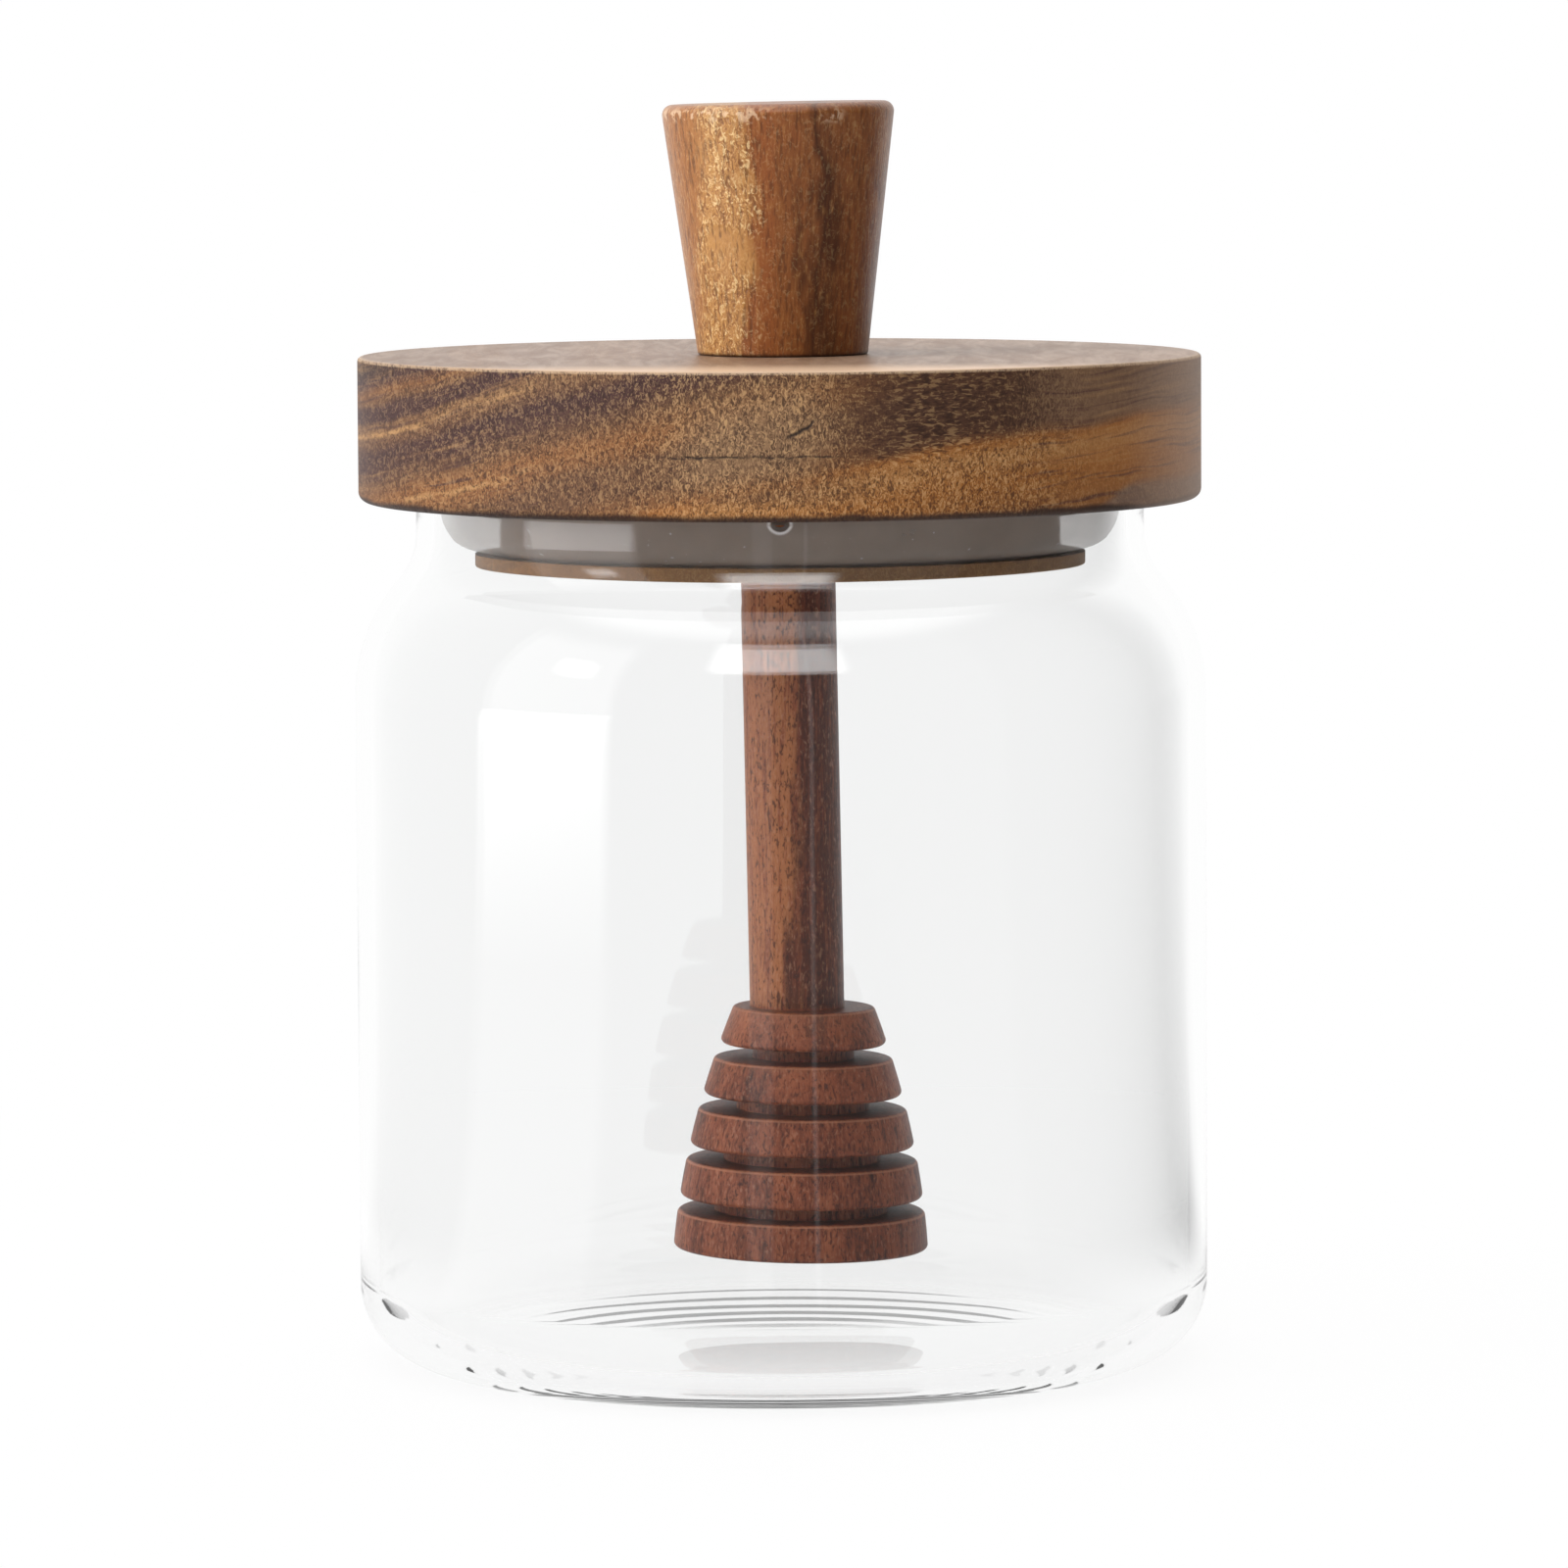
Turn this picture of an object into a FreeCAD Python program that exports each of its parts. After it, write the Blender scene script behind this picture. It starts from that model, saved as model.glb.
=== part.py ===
import FreeCAD, Part
import math
import os

# Empty glass honey jar with a turned wooden lid, a silicone seal, a wooden knob
# and a wooden dipper that hangs from the lid.
# Millimetres, +Z up. The origin is the centre of the jar's foot, on the table.
# The small vent notch of the seal faces -Y.

V = FreeCAD.Vector
UP = V(0, 0, 1)
FRONT = V(0, -1, 0)
TILT_AXIS = V(0, 1, 0)

# ---- Glass jar ----
JAR_HEIGHT = 101.4          # foot to rim, without the lid
BODY_RADIUS = 50.0          # outside of the straight body
SHOULDER_STEP = 7.3         # how much narrower the neck is than the body, on the radius
SHOULDER_BODY_ARC = 20.4    # round of the shoulder where it leaves the body
SHOULDER_NECK_ARC = 8.6     # hollow of the shoulder where it meets the neck
NECK_HEIGHT = 3.5           # straight part under the rim
GLASS_WALL = 2.2
GLASS_FLOOR = 3.2           # height of the inner floor above the table
HEEL_RADIUS = 9.2           # outside round between body and foot
FOOT_WIDTH = 4.0            # flat ring that the jar stands on
PUSH_UP = 1.0               # hollow of the underside inside that ring
RIM_ROUND = 0.7

# ---- Lid: a thick disc and its plug, turned from one piece ----
LID_INSET = 0.6             # how far the disc's edge stays inside the body
LID_THICKNESS = 16.9
LID_TOP_ROUND = 0.5
LID_BOTTOM_ROUND = 1.2
PLUG_DEPTH = 8.05           # underside of the disc to the bottom of the plug
LIP_CLEARANCE = 4.7         # lip of the plug to the bore of the neck
LIP_HEIGHT = 1.85           # wooden lip that keeps the seal on the plug
LIP_ROUND = 0.35
GROOVE_DEPTH = 3.0          # lip's edge in to the core that the seal sits round

# ---- Silicone seal ----
SEAL_BORE_GAP = 0.55        # widest edge of the seal to the bore of the neck
SEAL_CORE_GAP = 0.15        # inside of the seal to the core of the plug
SEAL_BULGE = 1.5            # how far the outer face swells past a straight cone
SEAL_RIM_HEIGHT = 0.35      # straight edge under the disc
SEAL_FOOT_STEP = 0.9        # foot of the outer face, inside the lip's edge
SEAL_RELIEF_HEIGHT = 0.4    # open line between the outer face and the lip
SEAL_RELIEF_DEPTH = 0.8
VENT_RADIUS = 1.15          # half-round notch that lets air out
VENT_DROP = 0.4             # straight part of the notch above its half round

# ---- Knob ----
KNOB_HEIGHT = 29.4
KNOB_BASE_RADIUS = 9.95
KNOB_TOP_RADIUS = 13.73
KNOB_TOP_ROUND = 1.2
KNOB_BASE_ROUND = 0.3

# ---- Dipper: ringed head, stick, and the tenon that joins it to the knob ----
DIPPER_FLOOR_GAP = 9.75     # inner floor of the jar to the bottom of the head
STICK_RADIUS = 5.57
HEAD_HEIGHT = 28.6
HEAD_BOTTOM_RADIUS = 15.05
HEAD_MIDDLE_RADIUS = 12.8
HEAD_TOP_RADIUS = 8.3
RING_COUNT = 5
GROOVE_HEIGHT = 1.6
GROOVE_CUT = 4.2            # outline of the head in to the core between two rings
RING_ROUND = 0.55
TENON_RADIUS = 4.0
TENON_IN_KNOB = 14.0
TENON_CLEARANCE = 0.1       # on the radius, in the lid and in the knob
TENON_END_GAP = 0.5         # top of the tenon to the end of its socket

# The knob, tenon and stick share one axis. It leans a little about the centre of
# the knob's top, so that the head hangs off centre, towards +X. The head itself is
# a little crooked on its stick: further out, and leaning the other way.
ROD_LEAN_DEG = 0.93
HEAD_LEAN_DEG = 1.0
HEAD_SHIFT = 0.8

TOLERANCE = 1e-4            # two points or levels this close are the same

# ---- Sizes that follow ----
neck_radius = BODY_RADIUS - SHOULDER_STEP
bore_radius = neck_radius - GLASS_WALL
foot_radius = BODY_RADIUS - HEEL_RADIUS
lid_radius = BODY_RADIUS - LID_INSET
lid_bottom = JAR_HEIGHT
lid_top = lid_bottom + LID_THICKNESS
plug_bottom = lid_bottom - PLUG_DEPTH
lip_top = plug_bottom + LIP_HEIGHT
lip_radius = bore_radius - LIP_CLEARANCE
core_radius = lip_radius - GROOVE_DEPTH
knob_top = lid_top + KNOB_HEIGHT
head_bottom = GLASS_FLOOR + DIPPER_FLOOR_GAP
head_top = head_bottom + HEAD_HEIGHT
ring_height = (HEAD_HEIGHT - (RING_COUNT - 1) * GROOVE_HEIGHT) / RING_COUNT


def at(radius, height):
    """A point of an outline, in the XZ half plane."""
    return V(radius, 0, height)


def line(start, end):
    return Part.LineSegment(start, end).toShape()


def arc_about(centre, radius, start_deg, end_deg):
    """An arc in the XZ plane, its angles counted from +X towards +Z."""
    points = []
    for deg in (start_deg, (start_deg + end_deg) / 2, end_deg):
        turn = math.radians(deg)
        points.append(centre + at(radius * math.cos(turn), radius * math.sin(turn)))
    return Part.Arc(*points).toShape()


def first_point(edge):
    return edge.valueAt(edge.FirstParameter)


def last_point(edge):
    return edge.valueAt(edge.LastParameter)


def turned(edges):
    """The solid that an outline sweeps in one turn about the Z axis.

    Straight edges close the gaps between the edges given, and from the last to the first.
    """
    outline = []
    for edge, following in zip(edges, edges[1:] + edges[:1]):
        outline.append(edge)
        if last_point(edge).distanceToPoint(first_point(following)) > TOLERANCE:
            outline.append(line(last_point(edge), first_point(following)))
    return Part.Face(Part.Wire(outline)).revolve(V(0, 0, 0), UP, 360)


def round_edges(solid, radius, levels):
    """Rounds each flat circular edge whose height and radius are in levels."""
    chosen = []
    for edge in solid.Edges:
        if isinstance(edge.Curve, Part.Circle):
            size = (edge.Curve.Center.z, edge.Curve.Radius)
            if any(math.dist(size, level) < TOLERANCE for level in levels):
                chosen.append(edge)
    return solid.makeFillet(radius, chosen)


def leaned(shape):
    """The shape turned onto the leaning axis of the knob, tenon and stick."""
    moved = shape.copy()
    moved.rotate(at(0, knob_top), TILT_AXIS, -ROD_LEAN_DEG)
    return moved


def block_below(height):
    """A block that holds everything under a level."""
    reach = knob_top + BODY_RADIUS
    return Part.makeBox(2 * reach, 2 * reach, reach, V(-reach, -reach, height - reach))


def shoulder(inset):
    """The two arcs from body to neck, for a surface that far inside the glass.

    Each is its centre, its radius and its end angles, in order from the body up.
    """
    both = SHOULDER_BODY_ARC + SHOULDER_NECK_ARC
    angle = math.degrees(math.acos(1 - SHOULDER_STEP / both))
    neck_z = JAR_HEIGHT - NECK_HEIGHT
    body_z = neck_z - both * math.sin(math.radians(angle))
    body_centre = at(BODY_RADIUS - SHOULDER_BODY_ARC, body_z)
    neck_centre = at(neck_radius + SHOULDER_NECK_ARC, neck_z)
    return [(body_centre, SHOULDER_BODY_ARC - inset, 0, angle),
            (neck_centre, SHOULDER_NECK_ARC + inset, 180 + angle, 180)]


def glass_jar():
    """The jar, its outline from the foot up the outside and down the inside."""
    outline = [line(at(foot_radius - FOOT_WIDTH, 0), at(foot_radius, 0)),
               arc_about(at(foot_radius, HEEL_RADIUS), HEEL_RADIUS, -90, 0)]
    for centre, radius, low, high in shoulder(0):
        outline.append(arc_about(centre, radius, low, high))
    rim_z = JAR_HEIGHT - RIM_ROUND
    outline.append(arc_about(at(neck_radius - RIM_ROUND, rim_z), RIM_ROUND, 0, 90))
    outline.append(arc_about(at(bore_radius + RIM_ROUND, rim_z), RIM_ROUND, 90, 180))
    for centre, radius, low, high in reversed(shoulder(GLASS_WALL)):
        outline.append(arc_about(centre, radius, high, low))
    bend = HEEL_RADIUS - GLASS_WALL
    outline.append(arc_about(at(foot_radius, GLASS_FLOOR + bend), bend, 0, -90))
    outline.append(line(at(foot_radius, GLASS_FLOOR), at(0, GLASS_FLOOR)))
    hollow = foot_radius - FOOT_WIDTH
    dome = (hollow ** 2 + PUSH_UP ** 2) / (2 * PUSH_UP)
    spread = math.degrees(math.asin(hollow / dome))
    outline.append(arc_about(at(0, PUSH_UP - dome), dome, 90, 90 - spread))
    return turned(outline)


def tenon_hole(low, high):
    """A drill along the leaning axis, between two heights on it."""
    radius = TENON_RADIUS + TENON_CLEARANCE
    return leaned(Part.makeCylinder(radius, high - low, at(0, low)))


def lid():
    """The disc, the core that the seal sits round, and the lip, with the tenon's bore."""
    blank = turned([
        line(at(0, plug_bottom), at(lip_radius, plug_bottom)),
        line(at(lip_radius, lip_top), at(core_radius, lip_top)),
        line(at(core_radius, lid_bottom), at(lid_radius, lid_bottom)),
        line(at(lid_radius, lid_top), at(0, lid_top)),
    ])
    blank = round_edges(blank, LIP_ROUND, [(plug_bottom, lip_radius)])
    blank = round_edges(blank, LID_BOTTOM_ROUND, [(lid_bottom, lid_radius)])
    blank = round_edges(blank, LID_TOP_ROUND, [(lid_top, lid_radius)])
    return blank.cut(tenon_hole(plug_bottom - PLUG_DEPTH, knob_top))


def seal():
    """The seal round the plug, its outer face swelling from the lip up to the bore."""
    edge_radius = bore_radius - SEAL_BORE_GAP
    inner_radius = core_radius + SEAL_CORE_GAP
    foot = at(lip_radius - SEAL_FOOT_STEP, lip_top + SEAL_RELIEF_HEIGHT)
    edge = at(edge_radius, lid_bottom - SEAL_RIM_HEIGHT)
    outward = TILT_AXIS.cross(edge - foot).normalize()
    middle = (foot + edge) * 0.5 + outward * SEAL_BULGE
    relief_radius = foot.x - SEAL_RELIEF_DEPTH
    ring = turned([
        Part.Arc(foot, middle, edge).toShape(),
        line(at(edge_radius, lid_bottom), at(inner_radius, lid_bottom)),
        line(at(inner_radius, lip_top), at(relief_radius, lip_top)),
        line(at(relief_radius, foot.z), foot),
    ])
    vent_z = lid_bottom - VENT_DROP
    vent = Part.makeCylinder(VENT_RADIUS, BODY_RADIUS, at(0, vent_z), FRONT)
    slot = Part.makeBox(2 * VENT_RADIUS, BODY_RADIUS, VENT_DROP + VENT_RADIUS,
                        V(-VENT_RADIUS, -BODY_RADIUS, vent_z))
    return ring.cut(vent.fuse(slot))


def knob():
    """A cone on the leaning axis, cut off level with the top of the lid."""
    slope = (KNOB_TOP_RADIUS - KNOB_BASE_RADIUS) / KNOB_HEIGHT
    spare = KNOB_BASE_RADIUS
    blank = Part.makeCone(KNOB_BASE_RADIUS - slope * spare, KNOB_TOP_RADIUS,
                          KNOB_HEIGHT + spare, at(0, lid_top - spare))
    blank = round_edges(blank, KNOB_TOP_ROUND, [(knob_top, KNOB_TOP_RADIUS)])
    trimmed = leaned(blank).cut(block_below(lid_top))
    base = [edge for edge in trimmed.Edges if edge.BoundBox.ZMax < lid_top + KNOB_BASE_ROUND]
    trimmed = trimmed.makeFillet(KNOB_BASE_ROUND, base)
    return trimmed.cut(tenon_hole(lid_top - spare, lid_top + TENON_IN_KNOB + TENON_END_GAP))


def head_radius(height):
    """Outline of the head: a curve through its bottom, middle and top radii."""
    share = (height - head_bottom) / HEAD_HEIGHT
    low = HEAD_BOTTOM_RADIUS * (1 - share) * (1 - 2 * share)
    middle = HEAD_MIDDLE_RADIUS * 4 * share * (1 - share)
    high = HEAD_TOP_RADIUS * share * (2 * share - 1)
    return low + middle + high


def head():
    """Rings stacked on a core, from the bottom up, all in one outline."""
    outline = [line(at(0, head_bottom), at(head_radius(head_bottom), head_bottom))]
    corners = []
    for index in range(RING_COUNT):
        low = head_bottom + index * (ring_height + GROOVE_HEIGHT)
        high = low + ring_height
        side = [at(head_radius(z), z) for z in (low, (low + high) / 2, high)]
        outline.append(Part.Arc(*side).toShape())
        corners += [(low, side[0].x), (high, side[2].x)]
        if index < RING_COUNT - 1:
            core = head_radius(high + GROOVE_HEIGHT / 2) - GROOVE_CUT
            outline.append(line(at(core, high), at(core, high + GROOVE_HEIGHT)))
    outline.append(line(at(head_radius(head_top), head_top), at(0, head_top)))
    return round_edges(turned(outline), RING_ROUND, corners)


def hung_head():
    """The head where the leaning stick carries it, crooked on the stick's end."""
    moved = head()
    moved.rotate(at(0, head_top), TILT_AXIS, HEAD_LEAN_DEG)
    rod_offset = (knob_top - head_top) * math.tan(math.radians(ROD_LEAN_DEG))
    moved.translate(at(rod_offset + HEAD_SHIFT, 0))
    return moved


def dipper():
    """Head, stick and tenon as one piece; the stick's shoulder meets the plug."""
    stick_low = head_top - ring_height / 2
    stick = Part.makeCylinder(STICK_RADIUS, knob_top - stick_low, at(0, stick_low))
    shouldered = leaned(stick).common(block_below(plug_bottom))
    tenon_low = plug_bottom - STICK_RADIUS
    tenon_high = lid_top + TENON_IN_KNOB
    tenon = Part.makeCylinder(TENON_RADIUS, tenon_high - tenon_low, at(0, tenon_low))
    return hung_head().fuse([shouldered, leaned(tenon)]).removeSplitter()


os.makedirs("parts", exist_ok=True)
NODES = {"glass_jar": glass_jar, "lid": lid, "seal": seal, "knob": knob, "dipper": dipper}
for name, make in NODES.items():
    solids = make().Solids
    if len(solids) != 1 or not solids[0].isValid():
        raise ValueError(name + " is not one valid solid")
    solids[0].exportStep("parts/" + name + ".step")
    print(name, round(solids[0].Volume / 1000, 2), "cm3")
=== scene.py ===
import math

import bmesh
import bpy
from bpy.props import FloatProperty, FloatVectorProperty, IntProperty, PointerProperty
from mathutils import Matrix, Vector


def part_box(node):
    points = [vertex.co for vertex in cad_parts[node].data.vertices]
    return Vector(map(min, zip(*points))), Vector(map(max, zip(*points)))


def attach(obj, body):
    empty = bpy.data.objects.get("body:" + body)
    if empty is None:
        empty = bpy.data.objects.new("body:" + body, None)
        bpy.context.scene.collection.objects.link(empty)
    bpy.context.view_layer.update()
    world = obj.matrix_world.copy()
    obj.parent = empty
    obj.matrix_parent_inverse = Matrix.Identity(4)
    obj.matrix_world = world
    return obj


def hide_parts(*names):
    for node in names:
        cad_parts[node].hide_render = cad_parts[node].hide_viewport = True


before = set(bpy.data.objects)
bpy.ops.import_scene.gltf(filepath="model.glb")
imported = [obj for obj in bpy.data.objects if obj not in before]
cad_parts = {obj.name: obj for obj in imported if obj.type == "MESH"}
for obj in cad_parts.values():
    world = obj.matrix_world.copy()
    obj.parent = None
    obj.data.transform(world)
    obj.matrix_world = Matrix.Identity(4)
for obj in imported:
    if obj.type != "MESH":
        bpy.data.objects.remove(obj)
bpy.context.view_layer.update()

bl_info = {
    "name": "Honey pot looks",
    "version": (1, 0, 0),
    "blender": (4, 5, 0),
    "location": "3D View > Sidebar > Honey pot",
    "description": "Builds a glass honey jar with its wooden lid, knob and dipper",
    "category": "Add Mesh",
}

# Metres, +Z up. The origin is the centre of the jar's foot, and the seal's vent
# notch faces -Y. Places and outer sizes come from the solids in the frame.

JAR_LOW, JAR_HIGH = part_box("glass_jar")
LID_LOW, LID_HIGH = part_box("lid")

TURN_STEPS = 256            # steps of one full turn on the lathe
STRAIGHT_STEP = 0.003       # straight parts have a point at least this often
ROUND_STEP = 5.0            # degrees for each step of a small round
WIDE_ROUND = 0.003          # a round over this size would show its steps in the glass,
WIDE_ROUND_STEP = 2.5       # so they are smaller
FULL_ROUND = 0.99           # share of a round that would use up all of its side
SAME = 1e-6                 # points this close are one
SHARP = 40                  # degrees past which an edge stays sharp
SEAL_SHARP = 30             # and for the seal's small edges
KNOB_TOP = 0.1477           # middle of the knob's top: its leaning edge stands a little higher
STICK_INTO_PLUG = 0.002     # how far the stick runs up into the lid's plug

# Levels and scales of the grain are in millimetres, as the part is.
PER_MM = (1000, 1000, 1000)
HEAD_TOP = (41.2, 42.2)     # the dipper's head gives way to the stick between these
NOTCH_LEVEL = 101.0         # centre of the seal's vent notch

# Windows of light in the room: from, to, and how soft the edges are. A turn is a place
# round the room, as round_the_room() gives it, and a rise is the slope of a direction.
LEFT_TURN = (0.0083, 0.119, 0.003)
LEFT_RISE = (-0.1, 0.66, 0.06)
FRONT_TURN = (0.195, 0.300, 0.012)
FRONT_RISE = (0.50, 0.745, 0.010)
CORE_TURN = (0.064, 0.092, 0.006)
CORE_RISE = (0.38, 0.50, 0.03)
SATIN_LEFT = 2.8            # strength of the left box in a satin gloss,
GLASS_LEFT = 0.7            # in clear glass,
GLASS_CORE = 4.0            # and more at its core
GLOSS_FRONT = 5.0           # strength of the front box in any gloss
THROUGH_GLASS = 0.955       # how bright white looks through the glass,
STEEP_THROUGH_GLASS = 0.78  # and far above or below level
FLOOR_HALF = 60.0           # half of the floor's side
FLOOR_DROP = 0.0001         # the floor lies this far under the foot, so that they don't touch
BOUNCES = 32                # light that runs along inside thick glass turns back many times
GLOSSY_BOUNCES = 24


# ---- Sizes and colours that a user may change ----

def length(name, description, default, low=0.0):
    return FloatProperty(name=name, description=description, default=default, min=low,
                         unit="LENGTH", subtype="DISTANCE", precision=5)


def angle(name, description, degrees):
    return FloatProperty(name=name, description=description, default=math.radians(degrees),
                         unit="ROTATION", subtype="ANGLE")


def colour(name, description, default):
    return FloatVectorProperty(name=name, description=description, default=default, size=3,
                               min=0.0, max=1.0, subtype="COLOR")


class JarSettings(bpy.types.PropertyGroup):
    shoulder_step: length("Shoulder step", "How much narrower the neck is than the body", 0.0073)
    body_arc: length("Shoulder round", "Round of the shoulder where it leaves the body", 0.0204)
    neck_arc: length("Neck hollow", "Hollow of the shoulder where it meets the neck", 0.0086)
    neck_height: length("Neck height", "Straight part under the rim", 0.0035)
    wall: length("Wall", "Thickness of the glass wall", 0.0022)
    floor: length("Floor", "Height of the inner floor above the table", 0.0032)
    heel: length("Heel round", "Round between the body and the foot", 0.0092)
    foot_width: length("Foot width", "Flat ring that the jar stands on", 0.004)
    push_up: length("Push-up", "Hollow of the underside", 0.001)
    rim_round: length("Rim round", "Round of both edges of the rim", 0.0007)
    tint: colour("Glass tint", "Colour that the glass gives to what is seen through it",
                 (0.996, 0.998, 0.997))


class LidSettings(bpy.types.PropertyGroup):
    plug_radius: length("Lip radius", "Radius of the wooden lip under the seal", 0.0358)
    core_radius: length("Core radius", "Radius of the wood inside the seal", 0.0328)
    lip_height: length("Lip height", "Height of the wooden lip", 0.00185)
    lip_round: length("Lip round", "Round of the lip's lower edge", 0.00035)
    top_round: length("Top round", "Round of the lid's upper edge", 0.0005)
    bottom_round: length("Bottom round", "Round of the lid's lower edge", 0.0012)
    dark: colour("Dark grain", "Colour of the dark bands", (0.046, 0.021, 0.014))
    mid: colour("Wood", "Main colour of the lid", (0.135, 0.060, 0.026))
    light: colour("Light grain", "Colour of the golden lines", (0.42, 0.225, 0.085))
    orange: colour("Orange grain", "Colour of the broad orange band", (0.290, 0.104, 0.020))
    tan: colour("Tan grain", "Colour of the greyish tan wood", (0.23, 0.130, 0.066))
    # the top's paleness is partly sanded face grain and partly painted light
    sanded_and_lit: colour("Sanded top", "Colour of the flat top", (0.33, 0.215, 0.145))


class SealSettings(bpy.types.PropertyGroup):
    body: colour("Silicone", "Colour of the seal", (0.60, 0.49, 0.42))
    cover: FloatProperty(name="Cover", description="How much of the light the silicone stops",
                         default=0.42, min=0.0, max=1.0, subtype="FACTOR")


class KnobSettings(bpy.types.PropertyGroup):
    base_radius: length("Base radius", "Radius of the cone where it meets the lid", 0.00995)
    top_radius: length("Top radius", "Radius of the cone at its top", 0.01373)
    top_round: length("Top round", "Round of the upper edge", 0.0012)
    base_round: length("Base round", "Round of the edge on the lid", 0.0003)
    lean: angle("Lean", "Lean of the knob and stick about the knob's top", 0.93)
    dark: colour("Dark grain", "Colour of the dark fibres", (0.070, 0.020, 0.005))
    mid: colour("Wood", "Main colour of the knob", (0.250, 0.080, 0.018))
    red: colour("Red grain", "Colour of the reddish streak", (0.270, 0.080, 0.018))
    # the golden side is partly a painted highlight
    light: colour("Light grain", "Colour of the golden side", (0.50, 0.245, 0.070))


class DipperSettings(bpy.types.PropertyGroup):
    stick_radius: length("Stick radius", "Radius of the stick", 0.00557)
    head_height: length("Head height", "Height of the ringed head", 0.0286)
    bottom_radius: length("Bottom ring", "Radius of the head at its bottom", 0.01505)
    middle_radius: length("Middle ring", "Radius of the head half way up", 0.0128)
    top_radius: length("Top ring", "Radius of the head at its top", 0.0083)
    rings: IntProperty(name="Rings", description="Number of rings", default=5, min=2)
    groove: length("Groove height", "Gap between two rings", 0.0016)
    groove_cut: length("Groove depth", "Outline of the head in to the core", 0.0042)
    ring_round: length("Ring round", "Round of the rings' edges", 0.00055)
    floor_gap: length("Floor gap", "Inner floor of the jar to the bottom of the head", 0.00975)
    head_lean: angle("Head lean", "Lean of the head on its stick", 1.0)
    head_shift: length("Head shift", "How far the head sits off the stick's axis", 0.0008)
    dark: colour("Dark grain", "Colour of the dark fibres", (0.045, 0.012, 0.006))
    mid: colour("Wood", "Main colour of the dipper", (0.215, 0.052, 0.021))
    light: colour("Light grain", "Colour of the light fibres", (0.37, 0.108, 0.045))
    # the stick's two sides are painted light and painted shade
    stick_painted_light: colour("Light side", "Colour of the stick's lighter side", (0.39, 0.135, 0.048))
    stick_painted_shade: colour("Dark side", "Colour of the stick's darker side", (0.084, 0.019, 0.007))


class StudioSettings(bpy.types.PropertyGroup):
    distance: length("Camera distance", "Camera to the jar's axis, along the floor", 1.038)
    height: length("Camera height", "Camera above the floor", 0.160)
    aside: length("Camera aside", "Camera to the right of the jar's axis", 0.00031)
    pitch: angle("Camera pitch", "How far the camera looks down", 5.08)
    roll: angle("Camera roll", "Turn of the camera about its line of sight", -0.3)
    lens: FloatProperty(name="Lens", description="Focal length", default=203.29,
                        unit="CAMERA", min=1.0)
    fill: FloatProperty(name="Fill", description="Strength of the light that the room gives",
                        default=0.9, min=0.0)
    left_box: FloatProperty(name="Left box", description="Strength of the tall soft box",
                            default=6.5, min=0.0)
    front_box: FloatProperty(name="Front box", description="Strength of the box over the camera",
                             default=2.6, min=0.0)
    top_box: FloatProperty(name="Top box", description="Strength of the light from above",
                           default=1.5, min=0.0)
    white: colour("Backdrop", "Colour of the floor and backdrop", (1.0, 1.0, 1.0))


class PotSettings(bpy.types.PropertyGroup):
    jar: PointerProperty(type=JarSettings)
    lid: PointerProperty(type=LidSettings)
    seal: PointerProperty(type=SealSettings)
    knob: PointerProperty(type=KnobSettings)
    dipper: PointerProperty(type=DipperSettings)
    studio: PointerProperty(type=StudioSettings)


# ---- Lathe work ----

def drawn_outline(corners):
    """A bmesh of half a section in the XZ plane, from corners of (radius, height, round)."""
    bm = bmesh.new()
    end = bm.verts.new((corners[0][0], 0, corners[0][1]))
    for before, corner, after in zip(corners, corners[1:], corners[2:] + corners[-1:]):
        here = Vector((corner[0], 0, corner[1]))
        come = (here - Vector((before[0], 0, before[1]))).normalized()
        go = Vector((after[0], 0, after[1])) - here
        size = corner[2]
        if size > 0 and go.length > 0:
            go.normalize()
            turn = come.angle(go)
            back = size * math.tan(turn / 2)
            end = straight_to(bm, end, here - come * back)
            side = come.cross(go).normalized()
            centre = end.co + side.cross(come) * size
            step = WIDE_ROUND_STEP if size > WIDE_ROUND else ROUND_STEP
            steps = max(3, math.ceil(math.degrees(turn) / step))
            arc = bmesh.ops.spin(bm, geom=[end], cent=centre, axis=side, angle=turn,
                                 steps=steps, use_merge=False)
            end = arc["geom_last"][0]
        else:
            end = straight_to(bm, end, here)
    return bm


def straight_to(bm, end, place):
    """Draws on from the vertex end to a place, and returns the new end."""
    start = end.co.copy()
    steps = math.ceil((place - start).length / STRAIGHT_STEP)
    for step in range(steps):
        end = bmesh.ops.extrude_vert_indiv(bm, verts=[end])["verts"][0]
        end.co = start.lerp(place, (step + 1) / steps)
    return end


def turned(corners):
    """The closed shape that an outline sweeps in a full turn about the Z axis."""
    bm = drawn_outline(corners)
    bmesh.ops.spin(bm, geom=bm.verts[:] + bm.edges[:], cent=(0, 0, 0), axis=(0, 0, 1),
                   angle=math.tau, steps=TURN_STEPS, use_merge=True)
    bmesh.ops.remove_doubles(bm, verts=bm.verts[:], dist=SAME)
    bmesh.ops.recalc_face_normals(bm, faces=bm.faces[:])
    return bm


def add_piece(bm, name, body, node, material, sharp_degrees):
    """Makes the bmesh a finished piece that rides on a body and stands for its node."""
    if not bm.faces:
        raise RuntimeError(name + " came out with no faces")
    mesh = bpy.data.meshes.new(name)
    bm.to_mesh(mesh)
    bm.free()
    mesh.shade_smooth()
    mesh.set_sharp_from_angle(angle=math.radians(sharp_degrees))
    mesh.materials.append(material)
    piece = bpy.data.objects.new(name, mesh)
    bpy.context.scene.collection.objects.link(piece)
    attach(piece, body)
    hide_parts(node)
    return piece


# ---- Materials ----

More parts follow.
